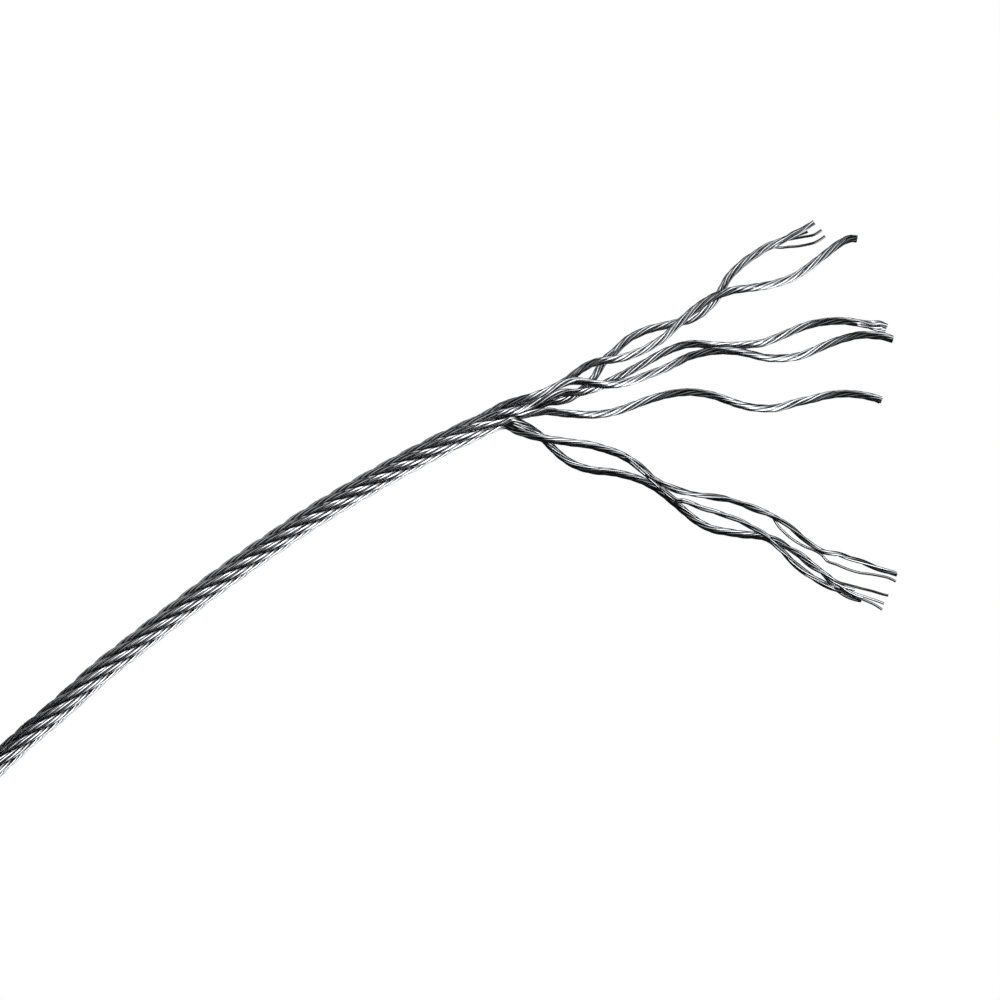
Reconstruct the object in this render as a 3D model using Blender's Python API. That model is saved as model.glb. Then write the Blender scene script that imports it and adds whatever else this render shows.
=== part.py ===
"""A coil of 4 mm stainless wire rope whose free end is unlaid into its seven strands.

The rope is laid 7x7: six outer strands round a core strand, each strand of seven wires. It lies flat on a
floor. Its stored length is wound into a round coil held by three cable ties. From the coil the rope runs
straight off and opens into its seven strands, which keep the wave of the lay they came out of.
"""

import math

import bmesh
import bpy
from mathutils import Matrix, Vector

MM = 0.001

# Rope
ROPE_DIAMETER = 4.0 * MM
STRAND_DIAMETER = ROPE_DIAMETER / 3
STRAY_GROUP_DIAMETER = 0.9 * MM
CLEARANCE = 0.3 * MM

# Coil
TAKE_OFF = Vector((-19.6, 21.3, 0.0)) * MM
RUN_LIFT = 0.3 * MM
COIL_MEAN_RADIUS = 36.0 * MM
COIL_ROWS = (5, 4, 5, 4, 4)
ROW_PITCH = ROPE_DIAMETER * math.sqrt(3) / 2
COIL_SEGMENTS = 60
ARC_STEP = math.radians(48)
VALLEY_ANGLE = math.radians(34)

# Ties
TIE_ANGLES = (math.radians(-64), math.radians(56), math.radians(176))
TIE_WIDTH = 2.5 * MM
TIE_THICKNESS = 1.1 * MM
TIE_CORNER = 1.6 * MM
TIE_HEAD_LENGTH = 5.0 * MM
TIE_HEAD_WIDTH = 4.6 * MM
TIE_HEAD_HEIGHT = 3.0 * MM
CORNER_STEPS = 3

# Routes, in millimetres on the floor plan: x and y over the plan, z up from the floor.
# The rope leaves the coil's outermost turn at TAKE_OFF, and its route from there ends where the strands open.
ROPE_ROUTE = (
    (0.1, 39.8, 2.0), (4.4, 43.8, 2.0), (8.7, 47.4, 2.0), (12.9, 51.1, 2.0),
    (17.1, 54.9, 2.0), (21.3, 58.2, 2.0), (25.4, 61.4, 2.0), (29.6, 64.6, 2.0), (33.8, 67.8, 2.0),
    (37.9, 70.8, 2.0), (42.1, 73.8, 2.0), (46.3, 76.6, 2.0), (50.4, 79.4, 2.0), (54.6, 82.0, 2.0),
    (58.8, 84.5, 2.0), (63.0, 86.9, 2.0), (67.1, 89.2, 2.0), (71.3, 91.4, 2.0), (75.5, 93.5, 2.0),
    (79.6, 95.4, 2.0), (82.9, 97.0, 2.0),
)

STRAND_ROUTES = {
    "strand_1": (
        (82.9, 97.9, 0.94), (84.6, 98.75, 1.0), (86.3, 99.6, 1.1), (88.2, 100.3, 1.2), (90.0, 101.0, 1.2),
        (91.8, 101.7, 1.3), (93.8, 102.8, 1.7), (95.7, 104.2, 2.1), (97.2, 105.3, 2.4), (98.9, 106.1, 3.0),
        (100.8, 106.5, 3.2), (102.5, 106.7, 3.1), (104.2, 107.1, 2.9), (105.8, 107.7, 2.7),
        (107.5, 108.4, 2.5), (109.2, 109.4, 2.4), (110.7, 110.4, 2.4), (112.0, 111.7, 2.35),
        (113.3, 112.9, 2.35), (114.7, 114.2, 2.4), (116.0, 115.3, 2.55), (117.3, 116.2, 2.8),
        (118.7, 117.0, 3.0), (120.0, 117.5, 3.25), (121.8, 118.1, 3.4), (123.8, 118.4, 3.3),
        (126.0, 118.7, 2.9), (128.2, 119.1, 2.3), (130.3, 119.7, 1.75), (132.3, 120.5, 1.25),
        (134.3, 121.8, 0.9), (136.3, 123.3, 0.75), (138.2, 124.8, 0.95), (139.8, 126.0, 1.3),
        (141.5, 126.8, 1.9), (142.8, 126.7, 2.3),
    ),
    "strand_2": (
        (83.6, 96.6, 0.7), (85.2, 97.45, 0.7), (86.8, 98.25, 0.7), (88.5, 98.8, 0.7), (90.2, 99.3, 0.75),
        (91.8, 99.7, 0.8), (93.3, 99.8, 0.85), (95.0, 100.3, 0.85), (96.7, 101.4, 0.8), (98.0, 102.6, 0.8),
        (99.0, 103.7, 0.8), (99.8, 105.1, 0.8), (100.6, 106.3, 0.85), (101.3, 107.2, 0.9),
        (102.4, 108.0, 1.0), (103.5, 109.1, 1.1), (104.8, 110.2, 1.2), (106.3, 111.0, 1.3),
        (108.0, 111.7, 1.3), (110.0, 112.2, 1.2), (111.7, 112.6, 1.05), (113.0, 112.9, 0.9),
        (114.5, 113.2, 0.9), (115.7, 113.7, 0.9), (117.0, 114.5, 0.95), (118.3, 115.7, 1.0),
        (119.5, 117.0, 1.1), (120.3, 118.5, 1.25), (121.3, 120.3, 1.4), (122.5, 121.6, 1.5),
        (124.3, 123.2, 1.5), (126.0, 124.3, 1.35), (127.7, 125.4, 1.1), (129.4, 126.1, 0.9),
        (131.4, 126.9, 0.75), (133.4, 128.2, 0.7), (135.4, 129.2, 0.7),
    ),
    "strand_3": (
        (83.1, 97.6, 3.5), (85.2, 98.1, 3.4), (86.9, 98.55, 2.9), (88.5, 99.3, 2.45), (90.1, 100.0, 2.35),
        (91.8, 100.7, 2.3), (93.8, 101.2, 2.25), (95.5, 101.2, 2.3), (97.0, 101.3, 2.4),
        (98.8, 101.8, 2.25), (100.2, 102.3, 1.9), (101.4, 103.0, 1.8), (102.7, 103.6, 1.8),
        (105.3, 105.0, 1.3), (107.7, 106.3, 1.0), (110.0, 107.6, 0.9), (112.3, 108.6, 1.0),
        (114.3, 109.2, 1.3), (116.3, 109.3, 1.6), (118.3, 109.1, 1.75), (120.3, 109.0, 1.75),
        (122.3, 109.0, 1.75), (124.7, 109.2, 1.7), (126.7, 109.4, 1.5), (128.5, 110.0, 1.2),
        (130.7, 110.9, 0.9), (132.8, 111.8, 0.75), (134.8, 112.5, 0.8), (136.7, 112.9, 1.1),
        (138.7, 113.1, 1.5), (140.7, 113.1, 1.9), (142.7, 112.8, 2.1), (144.7, 112.5, 2.0),
        (146.3, 112.3, 1.7), (147.7, 112.0, 1.4),
    ),
    "strand_4": (
        (82.6, 98.4, 2.35), (84.2, 99.2, 2.6), (86.1, 99.8, 3.35), (88.1, 100.3, 3.8), (90.0, 100.9, 3.85),
        (91.8, 101.7, 3.8), (93.8, 102.7, 3.65), (95.7, 103.1, 3.45), (97.7, 102.9, 3.5),
        (100.2, 102.5, 3.5), (102.0, 102.5, 3.3), (104.0, 102.8, 2.8), (106.0, 103.4, 2.2),
        (108.3, 104.3, 1.6), (110.5, 105.1, 1.1), (112.7, 106.2, 0.9), (114.7, 107.2, 1.2),
        (116.2, 107.6, 2.0), (117.5, 107.9, 2.6), (119.4, 108.1, 3.1), (121.3, 108.1, 3.25),
        (123.3, 107.9, 3.2), (125.2, 107.5, 2.9), (127.3, 107.0, 2.5), (129.3, 106.9, 2.0),
        (131.3, 107.0, 1.5), (133.5, 107.4, 1.0), (135.3, 108.1, 0.75), (137.3, 109.0, 0.7),
        (139.3, 109.8, 0.8), (141.3, 110.4, 1.1), (143.3, 110.8, 1.5), (145.5, 110.7, 1.9),
        (147.2, 110.5, 2.1), (148.7, 110.0, 2.2),
    ),
    "core_strand": (
        (83.3, 97.1, 2.1), (85.0, 97.45, 2.1), (86.7, 97.45, 1.95), (88.3, 97.7, 1.8), (91.0, 98.1, 1.9),
        (93.3, 97.8, 2.3), (95.8, 97.6, 2.5), (98.3, 97.5, 2.15), (100.7, 97.7, 1.6), (103.0, 98.2, 1.1),
        (105.3, 99.0, 0.8), (107.7, 99.9, 0.75), (110.0, 100.6, 0.8), (112.3, 101.1, 1.1),
        (114.8, 101.3, 1.6), (116.8, 101.1, 2.1), (118.8, 100.7, 2.5), (120.8, 100.0, 2.7),
        (122.8, 99.3, 2.6), (124.8, 98.8, 2.3), (126.8, 98.6, 1.8), (128.8, 98.6, 1.3),
        (130.8, 99.0, 0.9), (132.8, 99.6, 0.75), (135.2, 100.1, 0.7), (137.5, 100.7, 0.8),
        (139.7, 101.0, 1.1), (141.8, 101.0, 1.5), (144.0, 100.7, 1.9), (146.0, 100.2, 2.1),
        (146.8, 99.8, 2.2),
    ),
    "strand_5": (
        (84.1, 95.8, 1.75), (86.0, 94.9, 2.4), (88.3, 94.1, 2.9), (90.5, 93.6, 3.1), (93.0, 93.2, 2.9),
        (95.7, 92.8, 2.75), (98.2, 92.5, 2.65), (100.7, 91.8, 2.65), (103.3, 90.9, 2.75), (105.8, 89.4, 2.8),
        (108.4, 87.5, 2.9), (111.0, 85.9, 2.7), (113.5, 84.7, 2.4), (116.1, 84.0, 2.05), (118.7, 83.8, 1.75),
        (121.3, 83.6, 1.6), (123.8, 82.8, 1.65), (126.3, 81.6, 1.85), (128.9, 80.3, 2.1), (131.5, 78.7, 2.6),
        (134.0, 77.0, 2.8), (136.6, 75.2, 2.6), (139.3, 74.3, 2.1), (141.3, 73.5, 1.7), (143.5, 72.9, 1.3),
        (145.7, 72.3, 0.95), (147.8, 71.7, 0.75), (149.6, 71.2, 0.7),
    ),
    "strand_6": (
        (83.8, 96.2, 3.2), (85.1, 96.6, 3.3), (86.1, 96.4, 3.1), (87.2, 95.95, 2.55), (88.3, 95.3, 1.9),
        (89.5, 94.5, 1.45), (90.7, 93.4, 1.45), (91.8, 92.3, 1.3), (93.6, 90.6, 0.95), (95.8, 89.2, 0.7),
        (98.7, 88.3, 0.7), (101.7, 88.0, 0.8), (104.6, 87.4, 0.85), (107.2, 86.5, 0.8), (109.7, 85.1, 0.7),
        (112.3, 83.0, 0.7), (114.4, 81.2, 0.8), (116.3, 79.7, 0.95), (118.7, 78.5, 1.0),
        (121.3, 78.0, 0.95), (123.8, 77.6, 0.9), (126.3, 77.4, 0.85), (128.3, 76.9, 0.8),
        (130.2, 76.2, 0.9), (132.8, 74.6, 1.2), (135.3, 72.4, 1.5), (137.5, 70.7, 1.7), (139.4, 69.3, 1.7),
        (141.3, 68.9, 1.4), (143.5, 68.7, 1.1), (145.7, 68.5, 0.8), (148.2, 67.7, 0.7),
    ),
}

# A few wires that leave strand_5 and cross over strand_6 to its other side.
STRAY_GROUP_ROUTE = (
    (110.4, 84.8, 2.1), (111.7, 83.9, 2.3), (113.4, 83.3, 2.5), (115.3, 82.7, 2.4), (117.3, 81.9, 2.2),
    (119.3, 81.3, 2.0), (121.7, 80.5, 1.9), (123.8, 79.6, 2.0), (126.0, 78.4, 2.2), (127.7, 77.3, 2.4),
    (128.9, 76.1, 2.4), (130.2, 74.9, 2.1), (131.8, 73.4, 1.7), (134.0, 71.5, 1.2), (136.2, 70.1, 0.8),
    (138.2, 69.0, 0.5), (140.0, 68.4, 0.46), (143.5, 67.3, 0.46), (147.0, 65.7, 0.46),
)

STEEL_COLOUR = (0.60, 0.61, 0.62, 1.0)
TIE_COLOUR = (0.02, 0.02, 0.022, 1.0)


def clear_scene():
    for old in list(bpy.data.objects):
        bpy.data.objects.remove(old, do_unlink=True)


def plain_material(name, colour, roughness, metallic):
    material = bpy.data.materials.new(name)
    material.use_nodes = True
    shader = material.node_tree.nodes["Principled BSDF"]
    shader.inputs["Base Color"].default_value = colour
    shader.inputs["Roughness"].default_value = roughness
    shader.inputs["Metallic"].default_value = metallic
    return material


def link(name, data, material):
    data.materials.append(material)
    piece = bpy.data.objects.new(name, data)
    bpy.context.scene.collection.objects.link(piece)
    return piece


def curve_point(before, start, end, after, share):
    """A point of the Catmull-Rom curve between start and end."""
    square = share * share
    cube = square * share
    return 0.5 * (
        2 * start
        + (end - before) * share
        + (2 * before - 5 * start + 4 * end - after) * square
        + (3 * start - before - 3 * end + after) * cube
    )


def in_metres(route):
    return [Vector(point) * MM for point in route]


def smooth_route(route, spacing):
    """Evenly spaced points on one smooth curve through a route's points."""
    knots = list(route)
    knots = [2 * knots[0] - knots[1]] + knots + [2 * knots[-1] - knots[-2]]
    fine = []
    for i in range(1, len(knots) - 2):
        fine += [curve_point(*knots[i - 1:i + 3], step / 10) for step in range(10)]
    fine.append(knots[-2])
    travelled = [0.0]
    for a, b in zip(fine, fine[1:]):
        travelled.append(travelled[-1] + (b - a).length)
    count = max(2, round(travelled[-1] / spacing))
    points = []
    i = 0
    for step in range(count + 1):
        target = travelled[-1] * step / count
        while i < len(fine) - 2 and travelled[i + 1] < target:
            i += 1
        share = (target - travelled[i]) / (travelled[i + 1] - travelled[i])
        points.append(fine[i].lerp(fine[i + 1], share))
    return points


def tube(name, route, diameter, bevel_resolution, material):
    """A round tube along a route, with flat ends."""
    curve = bpy.data.curves.new(name, "CURVE")
    curve.dimensions = "3D"
    curve.bevel_depth = diameter / 2
    curve.bevel_resolution = bevel_resolution
    curve.use_fill_caps = True
    points = smooth_route(route, 2.5 * diameter)
    spline = curve.splines.new("POLY")
    spline.points.add(len(points) - 1)
    for target, point in zip(spline.points, points):
        target.co = (*point, 1.0)
    return link(name, curve, material)


def outermost_turn():
    """The radius of the coil's outermost turn, at the middle of the rope."""
    return section_extent()[1] - ROPE_DIAMETER / 2


def run_heading():
    """The level direction in which the rope leaves the coil."""
    heading = in_metres(ROPE_ROUTE)[0] - TAKE_OFF
    heading.z = 0.0
    return heading.normalized()


def coil_centre():
    """The rope leaves the outermost turn along its tangent, with the coil on its left."""
    left = Matrix.Rotation(math.pi / 2, 3, "Z") @ run_heading()
    return TAKE_OFF + left * outermost_turn()


def run_start():
    """The first point of the rope's run that is clear of the coil's ring."""
    turn = outermost_turn()
    radius = ROPE_DIAMETER / 2
    along = math.sqrt((turn + radius + CLEARANCE) ** 2 - (turn - radius) ** 2)
    height = Vector((0.0, 0.0, radius + RUN_LIFT))
    return TAKE_OFF + run_heading() * along + height


def coil_base():
    """The height of the coil's underside: it lies on its ties."""
    return TIE_THICKNESS + CLEARANCE


def coil_cells():
    """The centres of the turns in the coil's section, row by row from the floor up."""
    rows = []
    for row, count in enumerate(COIL_ROWS):
        first = COIL_MEAN_RADIUS - (count - 1) / 2 * ROPE_DIAMETER
        height = coil_base() + ROPE_DIAMETER / 2 + row * ROW_PITCH
        if row and count == COIL_ROWS[row - 1]:
            first -= ROPE_DIAMETER / 2
        rows.append([Vector((first + i * ROPE_DIAMETER, height)) for i in range(count)])
    return rows


def section_extent():
    """The coil section's lowest and highest radius, and its height over the floor."""
    cells = [cell for row in coil_cells() for cell in row]
    radius = ROPE_DIAMETER / 2
    inner = min(cell.x for cell in cells) - radius
    outer = max(cell.x for cell in cells) + radius
    top = max(cell.y for cell in cells) + radius
    return inner, outer, top


def coil_profile():
    """The outline of the coil's section: a flat underside, and every outer turn as a round ridge."""
    rows = coil_cells()
    outline = [row[-1] for row in rows[:-1]]
    outline += list(reversed(rows[-1]))
    outline += [row[0] for row in reversed(rows[:-1])]
    radius = ROPE_DIAMETER / 2
    points = []
    for i, cell in enumerate(outline):
        start = -math.pi / 2
        if i > 0:
            back = outline[i - 1] - cell
            start = math.atan2(back.y, back.x) + VALLEY_ANGLE
        end = start
        if i < len(outline) - 1:
            onward = outline[i + 1] - cell
            end = math.atan2(onward.y, onward.x) - VALLEY_ANGLE
        else:
            end = -math.pi / 2
        sweep = (end - start) % (2 * math.pi)
        steps = max(1, math.ceil(sweep / ARC_STEP))
        for step in range(steps + 1):
            angle = start + sweep * step / steps
            points.append(cell + radius * Vector((math.cos(angle), math.sin(angle))))
    return points


def turned_coil(material):
    """The coil as one turned ring with its bore."""
    mesh = bmesh.new()
    corners = [mesh.verts.new((point.x, 0.0, point.y)) for point in coil_profile()]
    edges = [mesh.edges.new((a, b)) for a, b in zip(corners, corners[1:] + corners[:1])]
    bmesh.ops.spin(
        mesh,
        geom=corners + edges,
        cent=(0.0, 0.0, 0.0),
        axis=(0.0, 0.0, 1.0),
        angle=2 * math.pi,
        steps=COIL_SEGMENTS,
        use_merge=True,
    )
    bmesh.ops.remove_doubles(mesh, verts=mesh.verts, dist=0.001 * MM)
    bmesh.ops.recalc_face_normals(mesh, faces=mesh.faces)
    data = bpy.data.meshes.new("coil")
    mesh.to_mesh(data)
    mesh.free()
    data.shade_smooth()
    ring = link("coil", data, material)
    ring.location = coil_centre()
    return ring


def rounded_outline(left, right, bottom, top, corner):
    """A rectangle with round corners, anticlockwise, as (radius, height) pairs."""
    centres = (
        (right - corner, top - corner), (left + corner, top - corner),
        (left + corner, bottom + corner), (right - corner, bottom + corner),
    )
    points = []
    for quarter, (x, z) in enumerate(centres):
        for step in range(CORNER_STEPS + 1):
            angle = math.pi / 2 * (quarter + step / CORNER_STEPS)
            points.append((x + corner * math.cos(angle), z + corner * math.sin(angle)))
    return points


def tie(name, angle, material):
    """A cable tie closed round the coil's section, with its head on top."""
    left, right, top = section_extent()
    left -= CLEARANCE
    right += CLEARANCE
    top += CLEARANCE
    inside = rounded_outline(left, right, TIE_THICKNESS, top, TIE_CORNER)
    outside = rounded_outline(
        left - TIE_THICKNESS, right + TIE_THICKNESS, 0.0, top + TIE_THICKNESS, TIE_CORNER + TIE_THICKNESS
    )
    mesh = bmesh.new()
    loops = [[mesh.verts.new((x, -TIE_WIDTH / 2, z)) for x, z in outline] for outline in (inside, outside)]
    count = len(inside)
    for i in range(count):
        after = (i + 1) % count
        mesh.faces.new((loops[0][i], loops[0][after], loops[1][after], loops[1][i]))
    swept = bmesh.ops.extrude_face_region(mesh, geom=mesh.faces[:])
    moved = [item for item in swept["geom"] if isinstance(item, bmesh.types.BMVert)]
    bmesh.ops.translate(mesh, verts=moved, vec=(0.0, TIE_WIDTH, 0.0))
    bmesh.ops.recalc_face_normals(mesh, faces=mesh.faces)
    band_data = bpy.data.meshes.new(name)
    mesh.to_mesh(band_data)
    mesh.free()
    band = link(name, band_data, material)

    head_mesh = bmesh.new()
    bmesh.ops.create_cube(head_mesh, size=1.0)
    bmesh.ops.scale(head_mesh, verts=head_mesh.verts, vec=(TIE_HEAD_LENGTH, TIE_HEAD_WIDTH, TIE_HEAD_HEIGHT))
    head_height = top + TIE_THICKNESS / 3 + TIE_HEAD_HEIGHT / 2
    head_place = Vector(((left + right) / 2, 0.0, head_height))
    bmesh.ops.translate(head_mesh, verts=head_mesh.verts, vec=head_place)
    head_data = bpy.data.meshes.new(name + "_head")
    head_mesh.to_mesh(head_data)
    head_mesh.free()
    head = link(name + "_head", head_data, material)
    head.hide_render = True
    head.display_type = "WIRE"

    joined = band.modifiers.new("head", "BOOLEAN")
    joined.operation = "UNION"
    joined.object = head
    turn = Matrix.Rotation(angle, 4, "Z")
    band.matrix_world = Matrix.Translation(coil_centre()) @ turn
    head.matrix_world = band.matrix_world
    return band, head


def stand_on_origin(pieces, guides):
    """Hang everything on one empty, so that the bottom centre of the whole box is the origin."""
    bpy.context.view_layer.update()
    graph = bpy.context.evaluated_depsgraph_get()
    corners = []
    for piece in pieces:
        solid = piece.evaluated_get(graph)
        shape = solid.to_mesh()
        corners += [piece.matrix_world @ vertex.co for vertex in shape.vertices]
        solid.to_mesh_clear()
    lowest = Vector(min(corner[i] for corner in corners) for i in range(3))
    highest = Vector(max(corner[i] for corner in corners) for i in range(3))
    origin = bpy.data.objects.new("rope_origin", None)
    bpy.context.scene.collection.objects.link(origin)
    for piece in pieces + guides:
        piece.parent = origin
    origin.location = (-(lowest.x + highest.x) / 2, -(lowest.y + highest.y) / 2, -lowest.z)


def build():
    clear_scene()
    steel = plain_material("stainless_steel", STEEL_COLOUR, 0.25, 1.0)
    nylon = plain_material("black_nylon", TIE_COLOUR, 0.45, 0.0)
    run = [run_start()] + in_metres(ROPE_ROUTE)
    pieces = [turned_coil(steel), tube("rope_run", run, ROPE_DIAMETER, 3, steel)]
    for name, route in STRAND_ROUTES.items():
        pieces.append(tube(name, in_metres(route), STRAND_DIAMETER, 2, steel))
    stray = in_metres(STRAY_GROUP_ROUTE)
    pieces.append(tube("stray_wires", stray, STRAY_GROUP_DIAMETER, 2, steel))
    guides = []
    for number, angle in enumerate(TIE_ANGLES, start=1):
        band, head = tie(f"tie_{number}", angle, nylon)
        pieces.append(band)
        guides.append(head)
    stand_on_origin(pieces, guides)


build()
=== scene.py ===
import math

import bpy
import numpy as np
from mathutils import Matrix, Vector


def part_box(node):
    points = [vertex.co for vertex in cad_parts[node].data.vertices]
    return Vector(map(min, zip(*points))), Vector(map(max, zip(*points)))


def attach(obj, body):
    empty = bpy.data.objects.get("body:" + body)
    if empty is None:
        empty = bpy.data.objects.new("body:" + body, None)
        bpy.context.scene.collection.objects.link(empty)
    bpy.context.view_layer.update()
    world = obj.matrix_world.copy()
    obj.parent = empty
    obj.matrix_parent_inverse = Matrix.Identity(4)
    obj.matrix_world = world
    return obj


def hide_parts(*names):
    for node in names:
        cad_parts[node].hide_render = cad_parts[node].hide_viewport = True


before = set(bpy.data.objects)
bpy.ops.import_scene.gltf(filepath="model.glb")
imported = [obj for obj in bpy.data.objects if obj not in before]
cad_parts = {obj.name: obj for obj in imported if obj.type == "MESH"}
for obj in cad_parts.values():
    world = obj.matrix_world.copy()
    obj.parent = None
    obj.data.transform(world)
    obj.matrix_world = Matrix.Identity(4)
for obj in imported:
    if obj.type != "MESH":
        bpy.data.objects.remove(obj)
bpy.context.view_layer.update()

MM = 0.001

# Rope: six strands round a core strand, seven wires a strand
ROPE_DIAMETER = 4.0 * MM
STRAND_DIAMETER = ROPE_DIAMETER / 3
WIRE_DIAMETER = STRAND_DIAMETER / 3
ROPE_LAY = 26.1 * MM
STRAND_LAY = 13.7 * MM
WIRE_PHASE = math.radians(40)

# Each wire strays a little from an even lay, in waves that start at another place on each wire
WIRE_WANDER = math.radians(5)
WANDER_LENGTH = 2.3 * MM
WANDER_SHIFT = 2.1

# Wires 0 to 5 lie round wire 6, their strand's core
OUTER_WIRES = 6
CORE_WIRE = 6

# Steps between the points of free wires, of the closed rope's wires, of the coil's strands and of paths
FREE_STEP = 0.5 * MM
CLOSED_STEP = 1.0 * MM
COIL_STEP = 3.2 * MM

# Steps of a curve between two points of its route, before it is spaced evenly
CURVE_STEPS = 24

# Sides of the tubes, and the angle from which an edge is sharp
COIL_STRAND_SIDES = 6
CLOSED_WIRE_SIDES = 8
FREE_WIRE_SIDES = 10
SHARP_ANGLE = math.radians(75)

# Coil: the rope leaves its outermost turn at this place on the plan
TAKE_OFF = np.array((-19.6, 21.3, 0.0)) * MM
COIL_MEAN_RADIUS = 36.0 * MM
COIL_ROWS = (5, 4, 5, 4, 4)
COIL_LENGTH = 4800 * MM
TIE_THICKNESS = 1.1 * MM
CLEARANCE = 0.3 * MM
COIL_BASE = TIE_THICKNESS + CLEARANCE

# The rope crosses to its next turn or row at the end of each turn, in these shares of a turn
CROSSOVER = 0.14
CROSSOVER_RAMP = 0.04

# The coil is worked out for this many turns, and cut at its length
MOST_TURNS = 23
STEPS_A_TURN = 240

# The rope leaves the coil on a curve through every eighth of the coil's last points
LEAVING_POINTS = 24
LEAVING_STRIDE = 8

# Each wire is a tube from this far past the coil. The whole strands reach a little further, and the core
# strand is drawn only for this much before the opening.
WIRES_START = 8 * MM
WHOLE_STRANDS_OVERLAP = 1.0 * MM
CORE_SHOWS = 12 * MM

# Painted shade on a wire where it faces its strand's middle: whole up to this cosine, and gone by this much
# more
FACING_DARK = -0.25
FACING_FADE = 0.75

# Painted shade in the closed rope's valleys: the same, in rope diameters from its middle
VALLEY_DARK = 0.31
VALLEY_FADE = 0.13
VALLEY_MARGIN = 2 * MM

# Tints: the rope's outside is bright and its unlaid strands, which lay inside it, are dull
BRIGHT = (0.65, 1.0)
DULL = (0.3, 0.55)

# These strands' wires get a painted highlight, a lighter tint, where they bend to the left, and a little
# painted shade in their other bends. Full turning is in radians a step, and the window that smooths it is in
# steps.
STRANDS_WITH_PAINTED_BEND_LIGHT = ("strand_1", "strand_2", "strand_3", "strand_4", "core_strand")
PAINTED_BEND_HIGHLIGHT = 0.45
DEEPEST_PAINTED_BEND_SHADE = -0.15
FULL_TURNING = 0.03
TURNING_WINDOW = 11

# Colours
DARK_STEEL = (0.16, 0.165, 0.17, 1.0)
LIGHT_STEEL = (0.68, 0.69, 0.70, 1.0)
# Painted shade: the near black that crevices between wires and strands are darkened to
PAINTED_CREVICE_SHADE = (0.05, 0.05, 0.05, 1.0)
# Painted shade in the gaps between the wires drawn on a whole strand
WIRE_GAP_SHADE = (0.04, 0.04, 0.04, 1.0)
DARK_NYLON = (0.012, 0.012, 0.013, 1.0)
LIGHT_NYLON = (0.032, 0.032, 0.034, 1.0)
BLACK = (0.0, 0.0, 0.0, 1.0)
WHITE = (1.0, 1.0, 1.0, 1.0)
COOL_WHITE = (0.97, 0.985, 1.0, 1.0)

# Camera: straight down, with the picture's lower left corner at the plan's origin
VIEW_SIDE = 166.7 * MM
CAMERA_HEIGHT = 700 * MM
SENSOR_WIDTH = 36.0

# Floor and pale wall round it
FLOOR_HALF_SIDE = 3.0
WALL_RADIUS = 2.8
WALL_LEVELS = (-0.01, 5.0)
WALL_SIDES = 48
WALL_GLOW = 0.92

# Long soft light: a strip across the sky, square to this direction on the plan and leaning towards it. Its
# half-width and its soft edge are shares of the sky's radius.
STRIP_AZIMUTH = 15
STRIP_SLOPE = 9
STRIP_HALF_WIDTH = 0.11
STRIP_EDGE = 0.05
STRIP_STRENGTH = 1.2

# Soft lights: direction on the plan, angle from straight above and half-width in degrees, and strength
SOFT_LIGHTS = (
    (5, 23, 10, 7.2),
    (315, 48, 15, 2.4),
    (312, 78, 20, 1.3),
    (62, 50, 18, 1.6),
    (75, 72, 14, 1.4),
    (150, 70, 36, 0.6),
    (310, 118, 22, 0.6),
)
SOFT_EDGE = 5
ROOM_LEVEL = 0.02
HORIZON_FADE = (-0.05, 0.1)

# Routes, in millimetres on the floor plan, as the solids have them
ROPE_ROUTE = (
    (0.1, 39.8, 2.0), (4.4, 43.8, 2.0), (8.7, 47.4, 2.0), (12.9, 51.1, 2.0),
    (17.1, 54.9, 2.0), (21.3, 58.2, 2.0), (25.4, 61.4, 2.0), (29.6, 64.6, 2.0), (33.8, 67.8, 2.0),
    (37.9, 70.8, 2.0), (42.1, 73.8, 2.0), (46.3, 76.6, 2.0), (50.4, 79.4, 2.0), (54.6, 82.0, 2.0),
    (58.8, 84.5, 2.0), (63.0, 86.9, 2.0), (67.1, 89.2, 2.0), (71.3, 91.4, 2.0), (75.5, 93.5, 2.0),
    (79.6, 95.4, 2.0), (82.9, 97.0, 2.0),
)

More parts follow.
